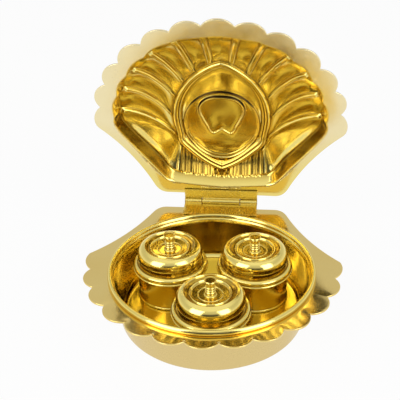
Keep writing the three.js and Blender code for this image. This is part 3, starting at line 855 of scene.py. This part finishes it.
def on_plate(points):
    """(u, v, height) laid on the plate, level with the hinge axis."""
    u, v, height = points.T
    return np.column_stack([u, HINGE_Y - v, PLATE_TOP + AXIS_HEIGHT + height])


def against_lid(points):
    """(u, v, height) laid against the lid's inner face."""
    u, v, height = points.T
    return on_open_lid(np.column_stack([u, v, -height - AXIS_HEIGHT]), 0)


def pin_shell():
    """The hinge wire: a round bar with softened ends, turned about the hinge line."""
    section = [[0, -HINGE_HALF, 0], [PIN_RADIUS, -HINGE_HALF, 0.3], [PIN_RADIUS, HINGE_HALF, 0.3],
               [0, HINGE_HALF, 0]]
    points, faces, _, _ = turned(section, (0, 0, 0), WIRE_SIDES)
    x, y, z = points.T
    return np.column_stack([z, HINGE_Y + y, PLATE_TOP + AXIS_HEIGHT + x]), faces


class Nodes:
    """Node tree of one material or world, with short calls for the nodes that the brass uses."""

    def __init__(self, owner):
        owner.use_nodes = True
        self.nodes, self.links = owner.node_tree.nodes, owner.node_tree.links
        self.nodes.clear()

    def add(self, kind):
        return self.nodes.new(kind)

    def join(self, source, socket):
        self.links.new(source, socket)

    def noise(self, place, scale, detail, stretch=None):
        """Noise on the piece's own coordinates, stretched along an axis where asked."""
        node = self.add("ShaderNodeTexNoise")
        node.inputs["Scale"].default_value = scale
        node.inputs["Detail"].default_value = detail
        if stretch:
            turn = self.add("ShaderNodeMapping")
            turn.inputs["Scale"].default_value = stretch
            self.join(place, turn.inputs["Vector"])
            place = turn.outputs[0]
        self.join(place, node.inputs["Vector"])
        return node.outputs["Fac"]

    def spread(self, value, low, high, to_low, to_high):
        node = self.add("ShaderNodeMapRange")
        for key, number in (
            ("From Min", low), ("From Max", high), ("To Min", to_low), ("To Max", to_high)
        ):
            node.inputs[key].default_value = number
        self.join(value, node.inputs["Value"])
        return node.outputs[0]

    def blend(self, share, first, second):
        node = self.add("ShaderNodeMix")
        node.data_type = "RGBA"
        self.join(share, node.inputs["Factor"])
        for socket, value in ((node.inputs[6], first), (node.inputs[7], second)):
            if isinstance(value, tuple):
                socket.default_value = (*value, 1)
            else:
                self.join(value, socket)
        return node.outputs[2]

    def combined(self, operation, first, second):
        node = self.add("ShaderNodeMath")
        node.operation = operation
        for socket, value in zip(node.inputs, (first, second)):
            if isinstance(value, (int, float)):
                socket.default_value = value
            else:
                self.join(value, socket)
        return node.outputs[0]

    def read_attribute(self, name):
        node = self.add("ShaderNodeAttribute")
        node.attribute_name = name
        return node.outputs["Fac"]


def brass(name, colour, pale, roughness, satin, bump=0.0, rings=0.0):
    """Polished brass: a metal whose colour drifts slightly with a slow noise, takes a paler colour
    where marked, which on the lid's flat flange is a painted sheen standing in for its bright
    reflection and on the drum is its own satin tone, and goes bronze and then dark as painted shade
    in creases, grooves, gaps and round the medallion's edges. Its gloss changes with a cloudy noise
    and fine wiping streaks, and its surface has faint waves or, on turned pieces, fine rings that
    follow the run along the section."""
    material = bpy.data.materials.new(name)
    tree = Nodes(material)
    out = tree.add("ShaderNodeOutputMaterial")
    shader = tree.add("ShaderNodeBsdfPrincipled")
    shader.inputs["Metallic"].default_value = 1
    tree.join(shader.outputs[0], out.inputs[0])
    place = tree.add("ShaderNodeTexCoord").outputs["Object"]
    drift = tree.spread(tree.noise(place, COLOUR_DRIFT, 2), *MIDDLE_NOISE, 0, 1)
    deeper = tuple(c * s for c, s in zip(colour, DEEPER))
    toned = tree.blend(drift, colour, deeper)
    # Painted pale sheen and satin where marked; on the bowl, the drum's own satin tone
    toned = tree.blend(tree.read_attribute("painted_sheen_and_satin"), toned, pale)
    # Painted shade: bronze and then dark, in creases, grooves, gaps and round the medallion's edges
    painted_shade = tree.read_attribute("painted_shade")
    toned = tree.blend(tree.spread(painted_shade, 0, 0.5, 0, 0.9), toned, SHADE_BRONZE)
    toned = tree.blend(tree.spread(painted_shade, 0.5, 1, 0, 1), toned, SHADE_DARK)
    tree.join(toned, shader.inputs["Base Color"])
    cloudy = tree.spread(tree.noise(place, CLOUDS, 4), *MIDDLE_NOISE, *CLOUD_GLOSS)
    streaks = tree.spread(tree.noise(place, 1, 3, WIPING), *WIPING_NOISE, *WIPING_GLOSS)
    gloss = tree.combined("MULTIPLY", tree.combined("MULTIPLY", cloudy, streaks), roughness)
    satin_share = tree.spread(tree.read_attribute("painted_sheen_and_satin"), 0, 1, 1, satin / roughness)
    tree.join(tree.combined("MULTIPLY", gloss, satin_share), shader.inputs["Roughness"])
    relief = tree.add("ShaderNodeBump")
    relief.inputs["Distance"].default_value = WAVE_HEIGHT * MM
    if rings:
        turning = tree.add("ShaderNodeTexNoise")
        turning.noise_dimensions = "1D"
        turning.inputs["Scale"].default_value = TURNING_RINGS
        turning.inputs["Detail"].default_value = 3
        tree.join(tree.read_attribute("run"), turning.inputs["W"])
        tree.join(turning.outputs["Fac"], relief.inputs["Height"])
    else:
        tree.join(tree.noise(place, WAVES, 2), relief.inputs["Height"])
    relief.inputs["Strength"].default_value = rings or bump
    tree.join(relief.outputs[0], shader.inputs["Normal"])
    return material


def seen_share(tree, amount):
    """amount for rays from the camera, mirror rays and rays through glass, 0 for the rest."""
    path = tree.add("ShaderNodeLightPath")
    total = path.outputs["Is Camera Ray"]
    for key in ("Is Glossy Ray", "Is Transmission Ray"):
        total = tree.combined("MAXIMUM", total, path.outputs[key])
    return tree.combined("MULTIPLY", total, amount)


def stage_material(name, colour, own_light):
    """A pale surface that glows softly towards the camera and towards shining metal, so that it
    reads as a white background, and that still takes the object's shadow."""
    material = bpy.data.materials.new(name)
    tree = Nodes(material)
    out = tree.add("ShaderNodeOutputMaterial")
    cloth = tree.add("ShaderNodeBsdfDiffuse")
    cloth.inputs["Color"].default_value = (*colour, 1)
    glow = tree.add("ShaderNodeEmission")
    glow.inputs["Color"].default_value = (1, 1, 1, 1)
    blend = tree.add("ShaderNodeMixShader")
    tree.join(seen_share(tree, own_light), blend.inputs[0])
    tree.join(cloth.outputs[0], blend.inputs[1])
    tree.join(glow.outputs[0], blend.inputs[2])
    tree.join(blend.outputs[0], out.inputs[0])
    return material


def make_world():
    """White to the camera and a plain grey level for lighting. Polished metal mirrors a studio
    that is white at the horizon and overhead and greyer in between, with a dark gap low down in
    front, between the softboxes."""
    world = bpy.data.worlds.new("studio_air")
    bpy.context.scene.world = world
    tree = Nodes(world)
    out = tree.add("ShaderNodeOutputWorld")
    air = tree.add("ShaderNodeBackground")
    room = tree.add("ShaderNodeBackground")
    air.inputs["Color"].default_value = (AIR_LEVEL, AIR_LEVEL, AIR_LEVEL, 1)
    room.inputs["Color"].default_value = (1, 1, 1, 1)
    heading = tree.add("ShaderNodeSeparateXYZ")
    tree.join(tree.add("ShaderNodeTexCoord").outputs["Generated"], heading.inputs[0])
    level = tree.spread(heading.outputs[2], *HORIZON_UP, 1.0, ROOM_LEVEL)
    overhead = tree.spread(heading.outputs[2], *OVERHEAD_UP, 0.0, OVERHEAD_LEVEL - ROOM_LEVEL)
    level = tree.combined("ADD", level, overhead)
    ahead = tree.spread(heading.outputs[1], *DARK_BACK, 0, 1 - DARK_LEVEL)
    low_down = tree.spread(heading.outputs[2], *DARK_UP, 1, 0)
    gap = tree.combined("SUBTRACT", 1, tree.combined("MULTIPLY", ahead, low_down))
    seen = tree.add("ShaderNodeLightPath").outputs["Is Camera Ray"]
    mirrored = tree.combined("MULTIPLY", level, gap)
    tree.join(tree.combined("MAXIMUM", mirrored, seen), room.inputs["Strength"])
    blend = tree.add("ShaderNodeMixShader")
    tree.join(seen_share(tree, 1.0), blend.inputs[0])
    tree.join(air.outputs[0], blend.inputs[1])
    tree.join(room.outputs[0], blend.inputs[2])
    tree.join(blend.outputs[0], out.inputs[0])


def make_card(name, corners, material, seen):
    """A flat four-cornered card of the stage. One that the camera doesn't see is there for the
    metal to mirror, and doesn't shade the floor."""
    mesh = bpy.data.meshes.new(name)
    mesh.from_pydata(corners, [], [(0, 1, 2, 3)])
    mesh.materials.append(material)
    card = bpy.data.objects.new(name, mesh)
    bpy.context.scene.collection.objects.link(card)
    card.visible_camera = seen
    card.visible_diffuse = seen
    card.visible_shadow = seen
    return card


def make_stage():
    """A wide pale floor under the object, and a dark board that lies on it in front, out of the
    camera's view, which only the metal mirrors."""
    level = float(cad_low[2])
    corners = ((-1, -1), (1, -1), (1, 1), (-1, 1))
    floor = [(x * FLOOR_HALF, y * FLOOR_HALF, level) for x, y in corners]
    make_card("studio_floor", floor, stage_material("floor_white", FLOOR_COLOUR, FLOOR_GLOW), True)
    dark = bpy.data.materials.new("board_dark")
    tree = Nodes(dark)
    out = tree.add("ShaderNodeOutputMaterial")
    paint = tree.add("ShaderNodeBsdfDiffuse")
    paint.inputs["Color"].default_value = (*BOARD_COLOUR, 1)
    tree.join(paint.outputs[0], out.inputs[0])
    make_card("front_board", [(x, y, level + BOARD_LIFT) for x, y in BOARD], dark, False)


def soft_light(name, direction, width, height, power):
    """A rectangular softbox that stands off from the cups and faces them."""
    aim = Vector(CUPS_MIDDLE)
    lamp = bpy.data.lights.new(name, "AREA")
    lamp.shape = "RECTANGLE"
    lamp.size, lamp.size_y = width, height
    lamp.energy = power
    box = bpy.data.objects.new(name, lamp)
    bpy.context.scene.collection.objects.link(box)
    box.location = aim + Vector(direction) * SOFTBOX_DISTANCE
    box.rotation_euler = (aim - box.location).to_track_quat("-Z", "Y").to_euler()


def make_camera():
    """The photograph's viewing angle: its place, its three directions and its lens."""
    lens = bpy.data.cameras.new("camera")
    lens.sensor_width = FILM_WIDTH
    lens.lens = LENS
    lens.clip_start, lens.clip_end = 0.01, 20
    camera = bpy.data.objects.new("camera", lens)
    bpy.context.scene.collection.objects.link(camera)
    turn = Matrix((CAMERA_RIGHT, CAMERA_UP, CAMERA_BACK)).transposed()
    camera.matrix_world = Matrix.Translation(CAMERA_PLACE) @ turn.to_4x4()
    bpy.context.scene.camera = camera


# Materials and pieces
plate_brass = brass("polished_plate_brass", PLATE_GOLD, SHEEN_GOLD, 0.12, 0.16, bump=0.02)
bowl_brass = brass("spun_bowl_brass", RELIEF_GOLD, DRUM_GOLD, 0.12, 0.3, rings=0.06)
cup_brass = brass("turned_cup_brass", RELIEF_GOLD, SHEEN_GOLD, 0.15, 0.2, rings=0.05)
lid_brass = brass("pressed_lid_brass", RELIEF_GOLD, SHEEN_GOLD, 0.15, 0.2, bump=0.025)
hinge_brass = brass("rolled_hinge_brass", RELIEF_GOLD, SHEEN_GOLD, 0.22, 0.22, bump=0.1)
pin_brass = brass("drawn_pin_brass", PLATE_GOLD, SHEEN_GOLD, 0.28, 0.3, bump=0.1)

points, faces, shade_and_finish = lid_shell()
shell = [(points, faces)]
add_piece("pressed_shell_lid", shell, lid_brass, "lid", ["shell_lid"], shade_and_finish)
shell = [plate_shell()]
add_piece("scalloped_plate", shell, plate_brass, "base", ["base_plate"])
bowl_centre = (0, HINGE_Y - BOWL_FORWARD, PLATE_TOP)
points, faces, shade_and_finish, corner = turned(BOWL_SECTION, bowl_centre, BOWL_SIDES)
# On the bowl this mark gives the drum's satin gloss and its own tone, not a painted sheen
shade_and_finish["painted_sheen_and_satin"] = (corner < SATIN_BOWL_ROWS) * 1.0
add_piece("spun_bowl", [(points, faces)], bowl_brass, "base", ["bowl"], shade_and_finish)
for side, (u, v) in CUP_PLACES.items():
    centre = (u, HINGE_Y - v, PLATE_TOP)
    for kind, section, sides, body, node in (
        ("turned_cup", CUP_SECTION, CUP_SIDES, f"{side}_cup", f"{side}_cup"),
        ("domed_cup_lid", CUP_LID_SECTION, CUP_SIDES, f"{side}_cup_lid", f"{side}_cup_lid"),
        ("turned_knob", KNOB_SECTION, KNOB_SIDES, f"{side}_cup_lid", f"{side}_lid_knob"),
    ):
        points, faces, shade_and_finish, _ = turned(section, centre, sides)
        shell = [(points, faces)]
        add_piece(f"{side}_{kind}", shell, cup_brass, body, [node], shade_and_finish)
lower_leaf = leaf(LOWER_LEAF_REACH, HINGE_HALF - END_KNUCKLE - KNUCKLE_GAP, True, on_plate)
upper_leaf = leaf(UPPER_LEAF_REACH, HINGE_HALF - END_KNUCKLE, False, against_lid)
for name, (strips, shade_and_finish), body, node in (
    ("plate_hinge_leaf", lower_leaf, "base", "lower_hinge_leaf"),
    ("lid_hinge_leaf", upper_leaf, "lid", "upper_hinge_leaf"),
):
    piece = add_piece(name, strips, hinge_brass, body, [node], shade_and_finish)
    bevel = piece.modifiers.new("soft_edges", "BEVEL")
    bevel.width = SOFT_EDGE * MM
    bevel.segments = 2
    bevel.limit_method = "ANGLE"
    bevel.harden_normals = True
add_piece("hinge_wire", [pin_shell()], pin_brass, "base", ["hinge_pin"])

make_world()
make_stage()
for name, (direction, width, height, power) in SOFTBOXES.items():
    soft_light(name, direction, width, height, power)
make_camera()
bpy.context.scene.view_settings.view_transform = "Standard"
